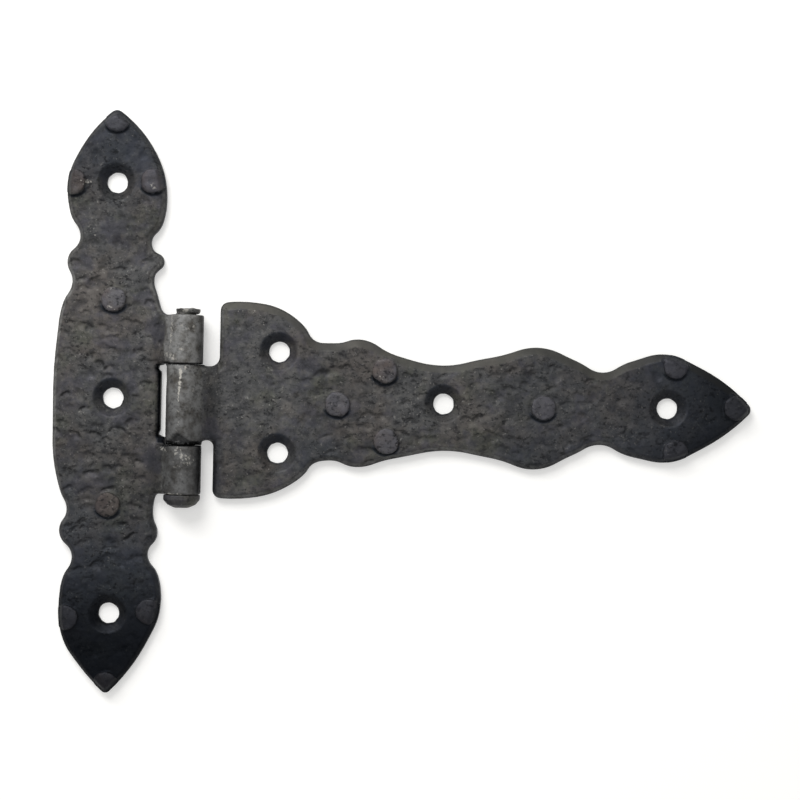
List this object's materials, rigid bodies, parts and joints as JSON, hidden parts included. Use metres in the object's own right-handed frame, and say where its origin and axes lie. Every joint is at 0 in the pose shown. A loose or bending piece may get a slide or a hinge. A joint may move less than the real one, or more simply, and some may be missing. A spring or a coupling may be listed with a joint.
{
  "type": "tee hinge",
  "caption": "Black cast iron tee hinge with a hammered front, spear-ended leaves, cast nail heads, countersunk screw holes and a riveted pin.",
  "frame": {"origin": "on the mounting plane, under the pin's axis and half way along the barrel", "axes": "+X from the pin along the strap, +Y along the pin towards its peened end, +Z out of the hammered front"},
  "size_m": [0.1806, 0.1507, 0.0098],
  "materials": {
    "black_iron_tee": "blackened, hammered and rubbed on the high spots",
    "black_iron_strap": "blackened, hammered and rubbed on the high spots",
    "black_steel_pin": "blackened"
  },
  "bodies": {
    "frame_side": {"tee_leaf": "black_iron_tee", "hinge_pin": "black_steel_pin"},
    "door_side": {"strap_leaf": "black_iron_strap"}
  },
  "joints": [
    {"name": "leaf_swing", "type": "hinge", "parent": "frame_side", "child": "door_side", "pos_m": [0, 0, 0.0049], "axis": [0, -1, 0], "range_deg": [0, 180]}
  ]
}
